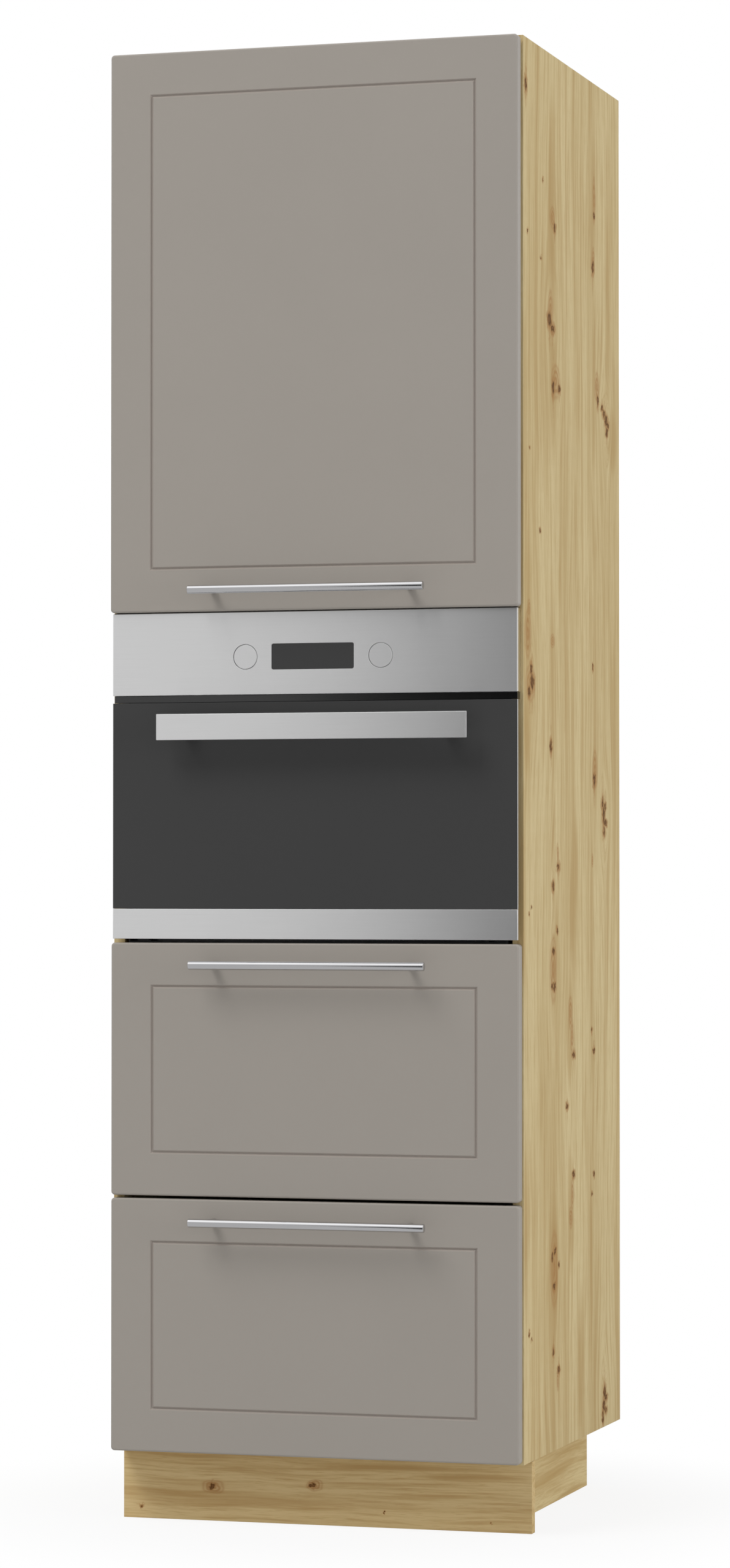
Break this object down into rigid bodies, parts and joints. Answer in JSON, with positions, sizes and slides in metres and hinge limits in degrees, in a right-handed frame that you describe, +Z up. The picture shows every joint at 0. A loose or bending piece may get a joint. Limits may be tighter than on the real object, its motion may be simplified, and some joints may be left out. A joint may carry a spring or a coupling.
{
  "type": "tall oven housing unit",
  "caption": "Tall kitchen column with a lift-up flap, a built-in compact oven with a drop-down door, and deep drawers behind milled fronts with bar handles.",
  "frame": {"origin": "on the floor, under the middle of the overall box, handles included", "axes": "+Z up, +X to the right seen from the front, fronts and handles face -Y, back to the wall at +Y"},
  "size_m": [0.6, 0.6274, 2.078],
  "materials": {
    "oak": "light knotty oak decor, satin, grain up the sides and along the plinth",
    "hardboard": "plain oak coloured hardboard, matt",
    "lacquer": "warm grey foil on milled fibreboard, matt",
    "drawer_white": "white melamine board, matt",
    "chrome": "polished",
    "brushed_steel": "fine brushed",
    "zinc": "zinc plated sheet",
    "strut_black": "black paint, satin",
    "black_plastic": "matt",
    "dark_glass": "dark grey glass, printed opaque behind",
    "vent_black": "gloss",
    "enamel": "dark grey speckled enamel, gloss"
  },
  "bodies": {
    "carcass": {"side_panel_left": "oak", "side_panel_right": "oak", "top_panel": "oak", "bottom_panel": "oak", "oven_shelf": "oak", "niche_ceiling": "oak", "upper_back_board": "hardboard", "lower_back_board": "hardboard", "loose_shelf": "oak", "kickboard": "oak", "kick_return_left": "oak", "kick_return_right": "oak", "leg_front_left": "black_plastic", "leg_front_right": "black_plastic", "leg_rear_left": "black_plastic", "leg_rear_right": "black_plastic", "hinge_arm_left": "zinc", "hinge_arm_right": "zinc", "strut_foot_bracket_left": "zinc", "strut_foot_bracket_right": "zinc", "upper_drawer_runner_left": "zinc", "upper_drawer_runner_right": "zinc", "lower_drawer_runner_left": "zinc", "lower_drawer_runner_right": "zinc", "oven_casing": "zinc", "oven_liner": "enamel", "oven_rack": "chrome", "oven_fascia": "brushed_steel", "oven_display": "dark_glass", "oven_vent_strip": "vent_black"},
    "flap": {"flap": "lacquer", "flap_handle": "chrome", "hinge_cup_left": "zinc", "hinge_cup_right": "zinc", "strut_head_bracket_left": "zinc", "strut_head_bracket_right": "zinc"},
    "left_strut_barrel": {"strut_barrel_left": "strut_black"},
    "left_strut_rod": {"strut_rod_left": "chrome"},
    "right_strut_barrel": {"strut_barrel_right": "strut_black"},
    "right_strut_rod": {"strut_rod_right": "chrome"},
    "upper_drawer": {"upper_drawer_front": "lacquer", "upper_drawer_handle": "chrome", "upper_drawer_side_left": "drawer_white", "upper_drawer_side_right": "drawer_white", "upper_drawer_base": "drawer_white", "upper_drawer_back": "drawer_white"},
    "lower_drawer": {"lower_drawer_front": "lacquer", "lower_drawer_handle": "chrome", "lower_drawer_side_left": "drawer_white", "lower_drawer_side_right": "drawer_white", "lower_drawer_base": "drawer_white", "lower_drawer_back": "drawer_white"},
    "oven_door": {"oven_door_frame": "enamel", "oven_door_glass": "dark_glass", "oven_door_trim": "brushed_steel", "oven_door_handle": "brushed_steel"},
    "left_knob_spindle": {"knob_spindle_left": "zinc"},
    "left_knob": {"knob_left": "brushed_steel"},
    "right_knob_spindle": {"knob_spindle_right": "zinc"},
    "right_knob": {"knob_right": "brushed_steel"}
  },
  "joints": [
    {"name": "flap_hinge", "type": "hinge", "parent": "carcass", "child": "flap", "pos_m": [0, -0.26675, 2.066], "axis": [-1, 0, 0], "range_deg": [0, 88]},
    {"name": "left_strut_tilt", "type": "hinge", "parent": "carcass", "child": "left_strut_barrel", "pos_m": [-0.27, -0.03225, 1.975], "axis": [-1, 0, 0], "range_deg": [0, 8]},
    {"name": "left_strut_reach", "type": "slide", "parent": "left_strut_barrel", "child": "left_strut_rod", "axis": [0, -0.9985, 0.0542], "range_m": [0, 0.118]},
    {"name": "right_strut_tilt", "type": "hinge", "parent": "carcass", "child": "right_strut_barrel", "pos_m": [0.27, -0.03225, 1.975], "axis": [-1, 0, 0], "range_deg": [0, 8]},
    {"name": "right_strut_reach", "type": "slide", "parent": "right_strut_barrel", "child": "right_strut_rod", "axis": [0, -0.9985, 0.0542], "range_m": [0, 0.118]},
    {"name": "upper_drawer_slide", "type": "slide", "parent": "carcass", "child": "upper_drawer", "axis": [0, -1, 0], "range_m": [0, 0.45]},
    {"name": "lower_drawer_slide", "type": "slide", "parent": "carcass", "child": "lower_drawer", "axis": [0, -1, 0], "range_m": [0, 0.45]},
    {"name": "oven_door_hinge", "type": "hinge", "parent": "carcass", "child": "oven_door", "pos_m": [0, -0.26125, 0.8295], "axis": [1, 0, 0], "range_deg": [0, 90], "stiffness_Nm_per_rad": 2, "springref_deg": -17.19},
    {"name": "left_knob_pop_out", "type": "slide", "parent": "carcass", "child": "left_knob_spindle", "axis": [0, -1, 0], "range_m": [0, 0.02]},
    {"name": "left_knob_turn", "type": "hinge", "parent": "left_knob_spindle", "child": "left_knob", "pos_m": [-0.099, -0.27, 1.2195], "axis": [0, 1, 0], "continuous": true},
    {"name": "right_knob_pop_out", "type": "slide", "parent": "carcass", "child": "right_knob_spindle", "axis": [0, -1, 0], "range_m": [0, 0.02]},
    {"name": "right_knob_turn", "type": "hinge", "parent": "right_knob_spindle", "child": "right_knob", "pos_m": [0.099, -0.27, 1.2195], "axis": [0, 1, 0], "range_deg": [0, 270]}
  ],
  "couplings": [
    {"joint": "left_strut_tilt", "follows": "flap_hinge", "ratio": 0.080274},
    {"joint": "left_strut_reach", "follows": "flap_hinge", "m_per_rad": 0.075227},
    {"joint": "right_strut_tilt", "follows": "flap_hinge", "ratio": 0.080274},
    {"joint": "right_strut_reach", "follows": "flap_hinge", "m_per_rad": 0.075227}
  ]
}
